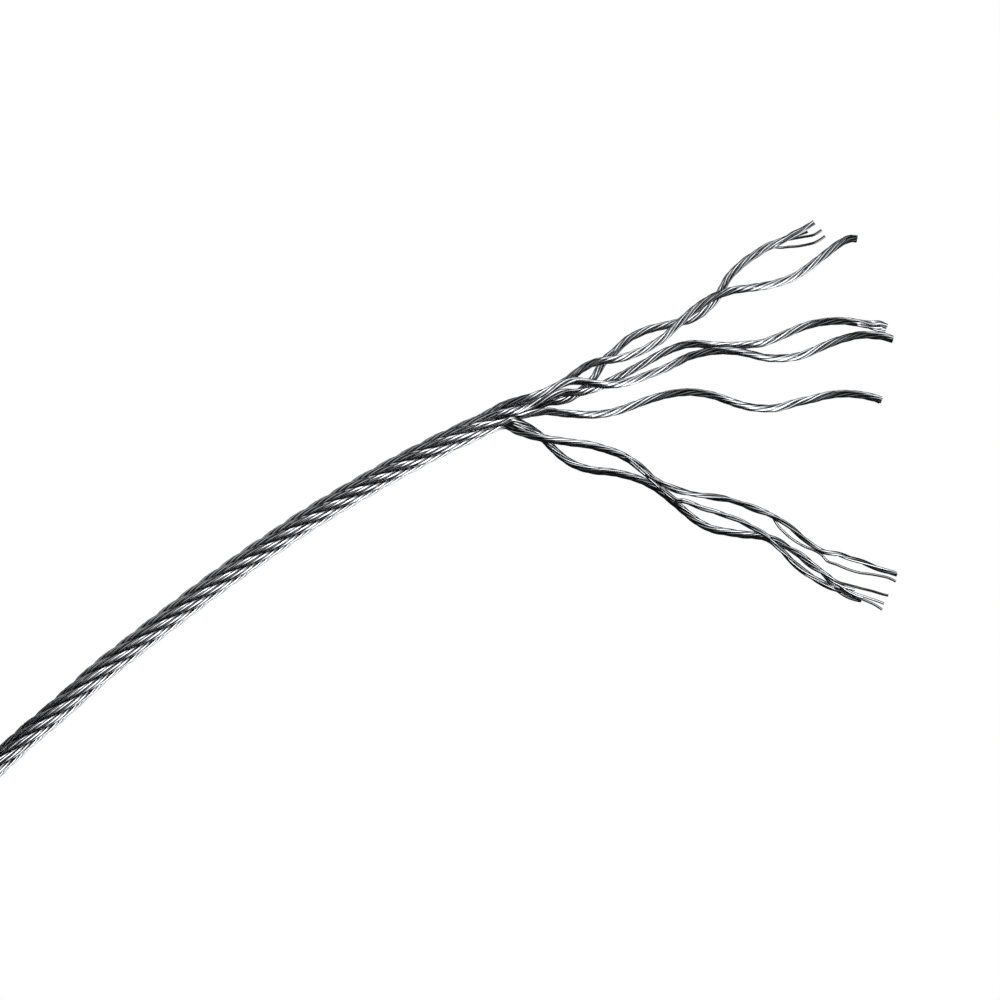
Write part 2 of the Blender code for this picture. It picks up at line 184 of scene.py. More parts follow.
STRAND_ROUTES = {
    "strand_1": (
        (82.9, 97.9, 0.94), (84.6, 98.75, 1.0), (86.3, 99.6, 1.1), (88.2, 100.3, 1.2), (90.0, 101.0, 1.2),
        (91.8, 101.7, 1.3), (93.8, 102.8, 1.7), (95.7, 104.2, 2.1), (97.2, 105.3, 2.4), (98.9, 106.1, 3.0),
        (100.8, 106.5, 3.2), (102.5, 106.7, 3.1), (104.2, 107.1, 2.9), (105.8, 107.7, 2.7),
        (107.5, 108.4, 2.5), (109.2, 109.4, 2.4), (110.7, 110.4, 2.4), (112.0, 111.7, 2.35),
        (113.3, 112.9, 2.35), (114.7, 114.2, 2.4), (116.0, 115.3, 2.55), (117.3, 116.2, 2.8),
        (118.7, 117.0, 3.0), (120.0, 117.5, 3.25), (121.8, 118.1, 3.4), (123.8, 118.4, 3.3),
        (126.0, 118.7, 2.9), (128.2, 119.1, 2.3), (130.3, 119.7, 1.75), (132.3, 120.5, 1.25),
        (134.3, 121.8, 0.9), (136.3, 123.3, 0.75), (138.2, 124.8, 0.95), (139.8, 126.0, 1.3),
        (141.5, 126.8, 1.9), (142.8, 126.7, 2.3),
    ),
    "strand_2": (
        (83.6, 96.6, 0.7), (85.2, 97.45, 0.7), (86.8, 98.25, 0.7), (88.5, 98.8, 0.7), (90.2, 99.3, 0.75),
        (91.8, 99.7, 0.8), (93.3, 99.8, 0.85), (95.0, 100.3, 0.85), (96.7, 101.4, 0.8), (98.0, 102.6, 0.8),
        (99.0, 103.7, 0.8), (99.8, 105.1, 0.8), (100.6, 106.3, 0.85), (101.3, 107.2, 0.9),
        (102.4, 108.0, 1.0), (103.5, 109.1, 1.1), (104.8, 110.2, 1.2), (106.3, 111.0, 1.3),
        (108.0, 111.7, 1.3), (110.0, 112.2, 1.2), (111.7, 112.6, 1.05), (113.0, 112.9, 0.9),
        (114.5, 113.2, 0.9), (115.7, 113.7, 0.9), (117.0, 114.5, 0.95), (118.3, 115.7, 1.0),
        (119.5, 117.0, 1.1), (120.3, 118.5, 1.25), (121.3, 120.3, 1.4), (122.5, 121.6, 1.5),
        (124.3, 123.2, 1.5), (126.0, 124.3, 1.35), (127.7, 125.4, 1.1), (129.4, 126.1, 0.9),
        (131.4, 126.7, 0.75), (133.4, 127.4, 0.7), (135.6, 128.4, 0.7),
    ),
    "strand_3": (
        (83.1, 97.6, 3.5), (85.2, 98.1, 3.4), (86.9, 98.55, 2.9), (88.5, 99.3, 2.45), (90.1, 100.0, 2.35),
        (91.8, 100.7, 2.3), (93.8, 101.2, 2.25), (95.5, 101.2, 2.3), (97.0, 101.3, 2.4),
        (98.8, 101.8, 2.25), (100.2, 102.3, 1.9), (101.4, 103.0, 1.8), (102.7, 103.6, 1.8),
        (105.3, 105.0, 1.3), (107.7, 106.3, 1.0), (110.0, 107.6, 0.9), (112.3, 108.6, 1.0),
        (114.3, 109.2, 1.3), (116.3, 109.3, 1.6), (118.3, 109.1, 1.75), (120.3, 109.0, 1.75),
        (122.3, 109.0, 1.75), (124.7, 109.2, 1.7), (126.7, 109.4, 1.5), (128.5, 110.0, 1.2),
        (130.7, 110.9, 0.9), (132.8, 111.8, 0.75), (134.8, 112.5, 0.8), (136.7, 112.9, 1.1),
        (138.7, 113.1, 1.5), (140.7, 113.1, 1.9), (142.7, 112.8, 2.1), (144.7, 112.5, 2.0),
        (146.3, 112.3, 1.7), (147.7, 112.0, 1.4),
    ),
    "strand_4": (
        (82.6, 98.4, 2.35), (84.2, 99.2, 2.6), (86.1, 99.8, 3.35), (88.1, 100.3, 3.8), (90.0, 100.9, 3.85),
        (91.8, 101.7, 3.8), (93.8, 102.7, 3.65), (95.7, 103.1, 3.45), (97.7, 102.9, 3.5),
        (100.2, 102.5, 3.5), (102.0, 102.5, 3.3), (104.0, 102.8, 2.8), (106.0, 103.4, 2.2),
        (108.3, 104.3, 1.6), (110.5, 105.1, 1.1), (112.7, 106.2, 0.9), (114.7, 107.2, 1.2),
        (116.2, 107.6, 2.0), (117.5, 107.9, 2.6), (119.4, 108.1, 3.1), (121.3, 108.1, 3.25),
        (123.3, 107.9, 3.2), (125.2, 107.5, 2.9), (127.3, 107.0, 2.5), (129.3, 106.9, 2.0),
        (131.3, 107.0, 1.5), (133.5, 107.4, 1.0), (135.3, 108.1, 0.75), (137.3, 109.0, 0.7),
        (139.3, 109.8, 0.8), (141.3, 110.4, 1.1), (143.3, 110.8, 1.5), (145.5, 110.7, 1.9),
        (147.2, 110.5, 2.1), (148.7, 110.0, 2.2),
    ),
    "core_strand": (
        (83.3, 97.1, 2.1), (85.0, 97.45, 2.1), (86.7, 97.45, 1.95), (88.3, 97.7, 1.8), (91.0, 98.1, 1.9),
        (93.3, 97.8, 2.3), (95.8, 97.6, 2.5), (98.3, 97.5, 2.15), (100.7, 97.7, 1.6), (103.0, 98.2, 1.1),
        (105.3, 99.0, 0.8), (107.7, 99.9, 0.75), (110.0, 100.6, 0.8), (112.3, 101.1, 1.1),
        (114.8, 101.3, 1.6), (116.8, 101.1, 2.1), (118.8, 100.7, 2.5), (120.8, 100.0, 2.7),
        (122.8, 99.3, 2.6), (124.8, 98.8, 2.3), (126.8, 98.6, 1.8), (128.8, 98.6, 1.3),
        (130.8, 99.0, 0.9), (132.8, 99.6, 0.75), (135.2, 100.1, 0.7), (137.5, 100.7, 0.8),
        (139.7, 101.0, 1.1), (141.8, 101.0, 1.5), (144.0, 100.7, 1.9), (146.0, 100.2, 2.1),
        (146.8, 99.8, 2.2),
    ),
    "strand_5": (
        (84.1, 95.8, 1.75), (86.0, 94.9, 2.4), (88.3, 94.1, 2.9), (90.5, 93.6, 3.1), (93.0, 93.2, 2.9),
        (95.7, 92.8, 2.75), (98.2, 92.5, 2.65), (100.7, 91.8, 2.65), (103.3, 90.9, 2.75), (105.8, 89.4, 2.8),
        (108.4, 87.5, 2.9), (111.0, 85.9, 2.7), (113.5, 84.7, 2.4), (116.1, 84.0, 2.05), (118.7, 83.8, 1.75),
        (121.3, 83.6, 1.6), (123.8, 82.8, 1.65), (126.3, 81.6, 1.85), (128.9, 80.3, 2.1), (131.5, 78.7, 2.6),
        (134.0, 77.0, 2.8), (136.6, 75.2, 2.6), (139.3, 74.3, 2.1), (141.3, 73.5, 1.7), (143.5, 72.9, 1.3),
        (145.7, 72.3, 0.95), (147.8, 71.7, 0.75), (149.6, 71.2, 0.7),
    ),
    "strand_6": (
        (83.8, 96.2, 3.2), (85.1, 96.6, 3.3), (86.1, 96.4, 3.1), (87.2, 95.95, 2.55), (88.3, 95.3, 1.9),
        (89.5, 94.5, 1.45), (90.7, 93.4, 1.45), (91.8, 92.3, 1.3), (93.6, 90.6, 0.95), (95.8, 89.2, 0.7),
        (98.7, 88.3, 0.7), (101.7, 88.0, 0.8), (104.6, 87.4, 0.85), (107.2, 86.5, 0.8), (109.7, 85.1, 0.7),
        (112.3, 83.0, 0.7), (114.4, 81.2, 0.8), (116.3, 79.7, 0.95), (118.7, 78.5, 1.0),
        (121.3, 78.0, 0.95), (123.8, 77.6, 0.9), (126.3, 77.4, 0.85), (128.3, 76.9, 0.8),
        (130.2, 76.2, 0.9), (132.8, 74.6, 1.2), (135.3, 72.4, 1.5), (137.5, 70.7, 1.7), (139.4, 69.3, 1.7),
        (141.3, 68.9, 1.4), (143.5, 68.7, 1.1), (145.7, 68.5, 0.8), (148.2, 67.7, 0.7),
    ),
}

STRAY_GROUP_ROUTE = (
    (110.4, 84.8, 2.1), (111.7, 83.9, 2.3), (113.4, 83.3, 2.5), (115.3, 82.7, 2.4), (117.3, 81.9, 2.2),
    (119.3, 81.3, 2.0), (121.7, 80.5, 1.9), (123.8, 79.6, 2.0), (126.0, 78.4, 2.2), (127.7, 77.3, 2.4),
    (128.9, 76.1, 2.4), (130.2, 74.9, 2.1), (131.8, 73.4, 1.7), (134.0, 71.5, 1.2), (136.2, 70.1, 0.8),
    (138.2, 69.0, 0.5), (140.0, 68.4, 0.46), (143.5, 67.3, 0.46), (147.0, 65.7, 0.46),
)

# The wires that leave strand 5 before its end, and the place where they do
STRAY_WIRES = (0, 1, 2)
STRAYS_LEAVE_AT = (105.4, 89.6, 2.75)

# Splayed ends: the wires that take each route. A route starts where its wires leave their strand.
SPLAYED = {
    "strand_2": (
        ((2, 3, 6), (
            (129.2, 126.0, 0.9), (130.3, 126.7, 0.9), (131.2, 127.1, 0.95), (132.0, 127.6, 1.05),
            (133.3, 128.1, 1.15), (134.5, 128.9, 1.25), (135.6, 129.6, 1.3),
        )),
        ((4, 5), (
            (129.2, 125.9, 0.8), (130.3, 126.4, 0.8), (131.4, 126.9, 0.85), (132.6, 127.4, 0.9),
            (133.6, 127.8, 0.95), (134.5, 128.2, 1.0),
        )),
        ((1,), (
            (129.2, 125.9, 0.7), (130.8, 126.6, 0.7), (132.0, 126.8, 0.75), (133.3, 127.1, 0.8),
            (134.8, 127.3, 0.9), (136.2, 127.7, 1.0), (136.9, 128.3, 1.1),
        )),
        ((0,), (
            (128.0, 125.0, 0.6), (129.3, 125.3, 0.55), (131.2, 125.5, 0.5), (132.8, 125.6, 0.5),
            (134.5, 125.9, 0.5), (136.2, 126.4, 0.55), (137.5, 127.3, 0.6),
        )),
    ),
    "strand_3": (
        ((0, 4, 5, 6), (
            (143.0, 112.8, 2.1), (144.7, 112.7, 2.0), (146.3, 112.7, 1.8), (147.7, 112.2, 1.6),
        )),
        ((1, 2), (
            (143.0, 112.5, 2.0), (144.7, 112.2, 1.8), (145.5, 112.0, 1.7), (146.8, 112.0, 1.5),
        )),
        ((3,), (
            (143.0, 112.5, 1.9), (144.7, 112.0, 1.7), (146.0, 111.6, 1.5), (147.5, 111.4, 1.3),
        )),
    ),
    "strand_5": (
        ((3,), (
            (128.2, 80.6, 1.7), (129.4, 79.3, 1.6), (130.2, 78.4, 1.5), (131.5, 77.2, 1.4),
            (132.8, 76.3, 1.3), (133.8, 75.7, 1.2), (135.3, 75.1, 1.1), (136.3, 74.7, 0.9),
            (137.1, 74.0, 0.8), (137.8, 73.2, 0.7), (138.7, 72.9, 0.7), (139.8, 72.4, 0.7),
            (140.8, 72.0, 0.65), (141.9, 71.6, 0.6), (143.0, 71.3, 0.55), (144.0, 71.1, 0.5),
            (145.1, 71.0, 0.5), (146.2, 70.8, 0.5), (147.2, 70.6, 0.5), (148.3, 70.3, 0.5),
            (149.3, 69.8, 0.5),
        )),
    ),
    "strand_6": (
        ((0, 1), (
            (127.4, 77.0, 0.7), (128.9, 76.1, 0.7), (130.4, 74.6, 0.8), (132.4, 72.6, 0.9),
            (134.4, 70.9, 0.8), (136.6, 69.6, 0.6), (138.6, 68.7, 0.55), (140.5, 68.1, 0.5),
            (141.3, 67.6, 0.5), (142.4, 67.0, 0.5), (143.6, 66.7, 0.5),
        )),
        ((2, 3), (
            (138.6, 69.6, 1.7), (139.6, 69.3, 1.55), (140.6, 68.7, 1.4), (141.6, 67.9, 1.2),
            (142.6, 67.3, 1.05), (143.6, 66.9, 1.0),
        )),
        ((4,), (
            (140.2, 68.9, 1.2), (141.7, 68.1, 1.0), (143.6, 67.4, 0.8), (145.7, 66.7, 0.6),
            (147.3, 66.1, 0.5),
        )),
        ((6,), (
            (138.6, 69.6, 1.7), (139.6, 69.2, 1.6), (140.8, 68.8, 1.5), (142.4, 68.4, 1.3),
        )),
    ),
}

# The stray wires' own ends, past the route that they share
STRAY_TIPS = (
    (
        (138.2, 69.0, 0.6), (140.2, 68.4, 0.6), (141.3, 68.1, 0.5), (142.4, 67.6, 0.5), (143.7, 67.0, 0.5),
    ),
    (
        (138.2, 68.9, 0.5), (140.3, 67.9, 0.5), (141.3, 67.5, 0.5), (143.0, 67.1, 0.5), (144.0, 66.7, 0.5),
        (145.6, 66.0, 0.5), (147.0, 65.1, 0.5),
    ),
    (
        (138.2, 68.8, 0.5), (140.5, 67.6, 0.45), (141.3, 67.1, 0.45), (142.4, 66.7, 0.45),
        (143.4, 66.5, 0.45),
    ),
)

# Order of the outer strands round the rope, and the first one's place at the rope's end
STRAND_ORDER = ("strand_4", "strand_3", "strand_6", "strand_5", "strand_2", "strand_1")
END_ANGLE = math.radians(10)

# The lay loosens by this turn over this length before the strands part
LOOSENING = math.radians(27)
LOOSENING_LENGTH = 15 * MM

# An opening strand's curve starts this far before the rope's end
CLOSED_UNTIL = 2.5 * MM

# Where one line joins another, its last points give way to a curve. It passes through every third point of
# the two, and takes up the second line some points on.
JOIN = 7
JOIN_STRIDE = 3
TAKEN_UP_AT = 4

# How far wires that share a route lie from its middle, in wire diameters, by their number
FAN_SPREAD = {1: 0.0, 2: 0.5, 3: 0.58, 4: 0.71}

# The stray wires: their length drawn inside strand 5
STRAY_LEAD = 3 * MM

# The wires of one cut end differ by up to this length, in millimetres
CUT_UNEVENNESS = 0.3


def unit(vectors):
    return vectors / np.linalg.norm(vectors, axis=-1, keepdims=True)


def smoothstep(share):
    """0 up to 0, 1 from 1 on, and a smooth rise between."""
    share = np.clip(share, 0.0, 1.0)
    return share * share * (3 - 2 * share)


def travelled(points):
    """Distance along a line of points, at each point."""
    steps = np.linalg.norm(np.diff(points, axis=0), axis=1)
    return np.concatenate(([0.0], np.cumsum(steps)))


def line_between(line, at, start, end, spacing):
    """Evenly spaced points on a stretch of a line, and their distances along it."""
    targets = np.linspace(start, end, max(2, round((end - start) / spacing)) + 1)
    return np.stack([np.interp(targets, at, line[:, i]) for i in range(3)], axis=1), targets


def resample(points, spacing):
    """The same line with even steps of about the given spacing."""
    along = travelled(points)
    return line_between(points, along, 0.0, along[-1], spacing)[0]


def smooth_route(route, spacing):
    """Evenly spaced points on one smooth curve through a route's points."""
    knots = np.asarray(route, dtype=float)
    knots = np.vstack((2 * knots[0] - knots[1], knots, 2 * knots[-1] - knots[-2]))
    fine = []
    for before, start, end, after in zip(knots, knots[1:], knots[2:], knots[3:]):
        share = np.linspace(0.0, 1.0, CURVE_STEPS, endpoint=False)[:, None]
        fine.append(
            0.5 * (
                2 * start
                + (end - before) * share
                + (2 * before - 5 * start + 4 * end - after) * share ** 2
                + (3 * start - before - 3 * end + after) * share ** 3
            )
        )
    fine.append(knots[-2:-1])
    return resample(np.vstack(fine), spacing)


def frames(points):
    """For each point of a level line: its direction, its left-hand side and its upper side."""
    along = unit(np.gradient(points, axis=0))
    left = unit(np.cross((0.0, 0.0, 1.0), along))
    up = np.cross(along, left)
    return along, left, up


def offset_line(points, radius, angle):
    """A line that winds round another: angle 0 is its left, 90 degrees its upper side."""
    _, left, up = frames(points)
    angle = np.asarray(angle)[:, None]
    return points + radius * (np.cos(angle) * left + np.sin(angle) * up)


def tube_uvs(points, sides):
    """UVs of a tube's sides: millimetres along it, and its share of the way round."""
    u = travelled(points) / MM
    u_low = np.repeat(u[:-1], sides)
    u_high = np.repeat(u[1:], sides)
    v_low = np.tile(np.arange(sides) / sides, len(points) - 1)
    v_high = v_low + 1 / sides
    corners = ((u_low, v_high), (u_high, v_high), (u_high, v_low), (u_low, v_low))
    return np.stack([np.stack(corner, axis=-1) for corner in corners], axis=1).reshape(-1, 2)


class MeshBuilder:
    """Collects tubes, with UVs that run along and round each tube, into one mesh."""

    def __init__(self):
        self.vertices = []
        self.faces = []
        self.uvs = []
        self.tints = []
        self.painted_shades = []
        self.count = 0

    def tube(self, points, radius, sides, tint, middle=None, closed=False):
        """Adds a tube. Its painted shade is 1 where it faces its middle, the line that it winds round, and
        where it lies deep in the closed rope. The middle may be shorter than the tube."""
        _, left, up = frames(points)
        rings = len(points)
        turns = (np.arange(sides) * 2 * math.pi / sides)[None, :, None]
        around = np.cos(turns) * left[:, None] + np.sin(turns) * up[:, None]
        grid = points[:, None] + radius * around
        self.vertices.append(grid.reshape(-1, 3))
        ring = np.arange(rings - 1)[:, None] * sides
        side = np.arange(sides)[None, :]
        after = (side + 1) % sides
        quads = np.stack((ring + side, ring + sides + side, ring + sides + after, ring + after), axis=-1)
        quads = quads.reshape(-1, 4)[:, ::-1] + self.count
        self.faces.extend(quads.tolist())
        self.uvs.append(tube_uvs(points, sides))
        first = (np.arange(sides) + self.count).tolist()
        last = (np.arange(sides) + self.count + (rings - 1) * sides).tolist()
        self.faces.append(first)
        self.faces.append(last[::-1])
        self.uvs.append(np.zeros((2 * sides, 2)))
        self.tints.append(np.repeat(np.broadcast_to(tint, (rings,)), sides))
        # Painted shade: darkest on the side that faces the middle and deep in the closed rope's valleys
        painted_shade = np.zeros((rings, sides))
        if middle is not None:
            held = len(middle)
            outward = unit(points[:held] - middle)
            facing = np.sum(around[:held] * outward[:, None], axis=-1)
            painted_shade[:held] = 1 - smoothstep((facing - FACING_DARK) / FACING_FADE)
        if closed:
            painted_shade = np.maximum(painted_shade, valley_painted_shade(grid, points))
        self.painted_shades.append(painted_shade.ravel())
        self.count += rings * sides

    def finish(self, name):
        data = bpy.data.meshes.new(name)
        data.from_pydata(np.vstack(self.vertices), [], self.faces)
        layer = data.uv_layers.new(name="along_and_round")
        layer.data.foreach_set("uv", np.vstack(self.uvs).ravel())
        tint = data.attributes.new("tint", "FLOAT", "POINT")
        tint.data.foreach_set("value", np.concatenate(self.tints))
        # Painted shade in the crevices, which darkens the steel's colour
        painted_shade = data.attributes.new("painted_shade", "FLOAT", "POINT")
        painted_shade.data.foreach_set("value", np.concatenate(self.painted_shades))
        data.shade_smooth()
        data.set_sharp_from_angle(angle=SHARP_ANGLE)
        piece = bpy.data.objects.new(name, data)
        bpy.context.scene.collection.objects.link(piece)
        return piece


# Place on the plan

def run_heading():
    """The rope's direction on the plan as it leaves the coil."""
    heading = np.array(ROPE_ROUTE[0]) * MM - TAKE_OFF
    heading[2] = 0.0
    return unit(heading)


def coil_cells():
    """The middles of the turns in the coil's section, from the rope's way in to its hidden end."""
    cells = []
    for row, count in enumerate(COIL_ROWS):
        first = COIL_MEAN_RADIUS - (count - 1) / 2 * ROPE_DIAMETER
        if row and count == COIL_ROWS[row - 1]:
            first -= ROPE_DIAMETER / 2
        radii = [first + i * ROPE_DIAMETER for i in range(count)]
        if row % 2 == 0:
            radii.reverse()
        cells += [(radius, row) for radius in radii]
    return cells


OUTERMOST_TURN = max(radius for radius, _ in coil_cells())
LEFT_OF_RUN = np.array((-run_heading()[1], run_heading()[0], 0.0))
COIL_CENTRE = TAKE_OFF + LEFT_OF_RUN * OUTERMOST_TURN
coil_low, coil_high = (np.array(corner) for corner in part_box("coil"))
PLAN_TO_WORLD = (coil_low + coil_high) / 2 - COIL_CENTRE
PLAN_TO_WORLD[2] = 0.0


def on_plan(route):
    """A route in millimetres on the plan, as points in the model's frame."""
    return np.array(route) * MM + PLAN_TO_WORLD


# Route of the whole rope

def coil_line():
    """The coiled length, from the rope's hidden end to its way out."""
    cells = coil_cells()
    turns = np.linspace(0.0, MOST_TURNS, MOST_TURNS * STEPS_A_TURN + 1)
    number = np.minimum(turns.astype(int), len(cells) - 2)
    share = turns - number
    radii = np.array([cell[0] for cell in cells])
    rows = np.array([cell[1] for cell in cells], dtype=float)
    change = smoothstep((share - (1 - CROSSOVER)) / CROSSOVER)
    radius = radii[number] + (radii[number + 1] - radii[number]) * change
    row = rows[number] + (rows[number + 1] - rows[number]) * change
    turn_share = turns % 1.0
    rise = smoothstep((turn_share - (1 - CROSSOVER - CROSSOVER_RAMP)) / CROSSOVER_RAMP)
    fall = smoothstep((CROSSOVER_RAMP - turn_share) / CROSSOVER_RAMP)
    pitch = ROPE_DIAMETER * (math.sqrt(3) / 2 + (1 - math.sqrt(3) / 2) * np.maximum(rise, fall))
    height = COIL_BASE + ROPE_DIAMETER / 2 + row * pitch
    start = math.atan2(-LEFT_OF_RUN[1], -LEFT_OF_RUN[0])
    angle = start - 2 * math.pi * turns
    line = np.stack((radius * np.cos(angle), radius * np.sin(angle), height), axis=1)
    line += COIL_CENTRE + PLAN_TO_WORLD
    line = line[travelled(line) <= COIL_LENGTH]
    return line[::-1]


def rope_line():
    """The whole rope's middle line, and the distance at which it leaves the coil."""
    coil = coil_line()
    run = on_plan(ROPE_ROUTE)
    leaving = coil[-LEAVING_POINTS:]
    knots = np.vstack((leaving[::LEAVING_STRIDE], leaving[-1:], run))
    shared = smooth_route(knots, FREE_STEP)
    line = np.vstack((coil[:-LEAVING_POINTS], shared))
    return line, travelled(coil)[-1]


ROPE_LINE, COIL_END = rope_line()
ROPE_ALONG = travelled(ROPE_LINE)
ROPE_LENGTH = ROPE_ALONG[-1]
WIRES_FROM = COIL_END + WIRES_START


def rope_stretch(start, end, spacing):
    """Evenly spaced points on a stretch of the rope, and their distances along it."""
    return line_between(ROPE_LINE, ROPE_ALONG, start, end, spacing)


def valley_painted_shade(grid, middle):
    """Painted shade: 1 deep in the valleys between the closed rope's strands and 0 outside, fading towards
    the opening.
    """
    axis, along = rope_stretch(WIRES_FROM - VALLEY_MARGIN, ROPE_LENGTH, FREE_STEP)
    nearest = np.linalg.norm(middle[:, None] - axis[None], axis=2).argmin(axis=1)
    offset = grid - axis[nearest][:, None]
    heading = frames(axis)[0][nearest][:, None]
    offset = offset - np.sum(offset * heading, axis=-1, keepdims=True) * heading
    depth = np.linalg.norm(offset, axis=-1) / ROPE_DIAMETER
    fading = smoothstep((ROPE_LENGTH - along[nearest]) / LOOSENING_LENGTH)[:, None]
    return fading * (1 - smoothstep((depth - VALLEY_DARK) / VALLEY_FADE))


# Strands and wires

def strand_angle(order, along):
    """Where an outer strand lies round the rope at a distance along it."""
    before_end = ROPE_LENGTH - along
    tightness = smoothstep(before_end / LOOSENING_LENGTH)
    return END_ANGLE + order * math.pi / 3 + LOOSENING * tightness - 2 * math.pi * before_end / ROPE_LAY


def strand_line(name):
    """A strand's middle line, from inside the closed rope to its tip, and the distance where it opens."""
    axis, along = rope_stretch(WIRES_FROM, ROPE_LENGTH - CLOSED_UNTIL, FREE_STEP)
    if name == "core_strand":
        closed = axis
    else:
        order = STRAND_ORDER.index(name)
        closed = offset_line(axis, STRAND_DIAMETER, strand_angle(order, along))
    free = on_plan(STRAND_ROUTES[name])
    opening = smooth_route(np.vstack((closed[-JOIN::JOIN_STRIDE], free)), FREE_STEP)
    line = np.vstack((closed[:-JOIN], opening))
    at = travelled(line)
    nearest = np.argmin(np.linalg.norm(line - free[0], axis=1))
    return line, at, at[nearest]


def wire_angle(number, along):
    """Wires run the other way round their strand than strands round the rope."""
    return WIRE_PHASE + number * math.pi / 3 - 2 * math.pi * along / STRAND_LAY


def wire_line(middle, along, number):
    """A wire's line round its strand's middle line. Wire 6 is the core."""
    if number == CORE_WIRE:
        return middle
    wander = WIRE_WANDER * np.sin(along / WANDER_LENGTH + WANDER_SHIFT * number)
    return offset_line(middle, WIRE_DIAMETER, wire_angle(number, along) + wander)


def nearest_place(line, at, point):
    """How far along a line it comes nearest to a point."""
    return at[np.argmin(np.linalg.norm(line - point, axis=1))]


def fanned(route, count):
    """Lines for the wires that share one splayed route, side by side and turning about each other."""
    line = smooth_route(on_plan(route), FREE_STEP)
    at = travelled(line)
    spread = FAN_SPREAD[count] * WIRE_DIAMETER
    return [offset_line(line, spread, 2 * math.pi * (i / count - at / STRAND_LAY)) for i in range(count)]


def joined(held, loose):
    """One smooth line that follows its strand first and a splayed route after."""
    knots = np.vstack((held[-JOIN::JOIN_STRIDE], loose[TAKEN_UP_AT::JOIN_STRIDE]))
    if not np.array_equal(knots[-1], loose[-1]):
        knots = np.vstack((knots, loose[-1]))
    return np.vstack((held[:-JOIN], smooth_route(knots, FREE_STEP)))


# Materials

def material_parts(material):
    """A material's nodes, links and shader."""
    material.use_nodes = True
    nodes = material.node_tree.nodes
    return nodes, material.node_tree.links, nodes["Principled BSDF"]


def mix_colours(nodes, links, factor, first, second):
    """From one colour to another. Each is a colour, or the socket that gives one."""
    mix = nodes.new("ShaderNodeMix")
    mix.data_type = "RGBA"
    links.new(factor, mix.inputs["Factor"])
    for name, colour in (("A", first), ("B", second)):
        if isinstance(colour, tuple):
            mix.inputs[name].default_value = colour
        else:
            links.new(colour, mix.inputs[name])
    return mix.outputs["Result"]


def rough_between(nodes, links, value, smoothest, roughest):
    """A value from 0 to 1, as a roughness between two."""
    roughness = nodes.new("ShaderNodeMapRange")
    roughness.inputs["To Min"].default_value = smoothest
    roughness.inputs["To Max"].default_value = roughest
    links.new(value, roughness.inputs["Value"])
    return roughness.outputs["Result"]


def add_bump(nodes, links, height, distance, strength=1.0):
    """Raises the shader's surface by a value. It takes the place of an earlier bump."""
    bump = nodes.new("ShaderNodeBump")
    bump.inputs["Strength"].default_value = strength
    bump.inputs["Distance"].default_value = distance
    links.new(height, bump.inputs["Height"])
    links.new(bump.outputs["Normal"], nodes["Principled BSDF"].inputs["Normal"])


def steel_material():
    """Bright drawn wire, finely streaked along its length, with painted shade where it lies in crevices
    between wires and strands.
    """
    material = bpy.data.materials.new("bright_stainless")
    nodes, links, shader = material_parts(material)
    shader.inputs["Metallic"].default_value = 1.0
    coordinates = nodes.new("ShaderNodeUVMap")
    coordinates.uv_map = "along_and_round"
    stretch = nodes.new("ShaderNodeMapping")
    stretch.inputs["Scale"].default_value = (0.35, 14.0, 1.0)
    links.new(coordinates.outputs["UV"], stretch.inputs["Vector"])
    drawn = nodes.new("ShaderNodeTexNoise")
    drawn.inputs["Scale"].default_value = 1.0
    drawn.inputs["Detail"].default_value = 3.0
    links.new(stretch.outputs["Vector"], drawn.inputs["Vector"])
    streaks = drawn.outputs["Fac"]
    roughness = rough_between(nodes, links, streaks, smoothest=0.08, roughest=0.20)
    links.new(roughness, shader.inputs["Roughness"])
    # Tint: a random tone for each wire, which on some free strands also carries painted highlight and shade
    # on the bends
    tint = nodes.new("ShaderNodeAttribute")
    tint.attribute_name = "tint"
    colour = mix_colours(nodes, links, tint.outputs["Fac"], DARK_STEEL, LIGHT_STEEL)
    # Painted shade: the colour darkens to near black where the painted shade attribute is high
    painted_shade = nodes.new("ShaderNodeAttribute")
    painted_shade.attribute_name = "painted_shade"
    colour = mix_colours(nodes, links, painted_shade.outputs["Fac"], colour, PAINTED_CREVICE_SHADE)
    links.new(colour, shader.inputs["Base Color"])
    add_bump(nodes, links, streaks, distance=0.02 * MM, strength=0.15)
    return material


def laid_steel_material():
    """The same steel for a whole strand, with its wires drawn on it as bumps and painted shade in the gaps
    between them.
    """
    material = steel_material()
    material.name = "laid_stainless"
    nodes, links, shader = material_parts(material)
    coordinates = nodes.new("ShaderNodeUVMap")
    coordinates.uv_map = "along_and_round"
    place = nodes.new("ShaderNodeSeparateXYZ")
    links.new(coordinates.outputs["UV"], place.inputs["Vector"])
    along = nodes.new("ShaderNodeMath")
    along.operation = "MULTIPLY"
    along.inputs[1].default_value = math.pi * OUTER_WIRES * MM / STRAND_LAY
    links.new(place.outputs["X"], along.inputs[0])
    turn = nodes.new("ShaderNodeMath")
    turn.operation = "MULTIPLY_ADD"
    turn.inputs[1].default_value = math.pi * OUTER_WIRES
    links.new(place.outputs["Y"], turn.inputs[0])
    links.new(along.outputs["Value"], turn.inputs[2])
    wave = nodes.new("ShaderNodeMath")
    wave.operation = "SINE"
    links.new(turn.outputs["Value"], wave.inputs[0])
    height = nodes.new("ShaderNodeMath")
    height.operation = "ABSOLUTE"
    links.new(wave.outputs["Value"], height.inputs[0])
    add_bump(nodes, links, height.outputs["Value"], distance=0.2 * MM)
    # Painted shade in the gaps between the drawn wires
    gap_shade = nodes.new("ShaderNodeMapRange")
    gap_shade.inputs["From Max"].default_value = 0.45
    links.new(height.outputs["Value"], gap_shade.inputs["Value"])
    clean = shader.inputs["Base Color"].links[0].from_socket
    colour = mix_colours(nodes, links, gap_shade.outputs["Result"], WIRE_GAP_SHADE, clean)
    links.new(colour, shader.inputs["Base Color"])
    return material


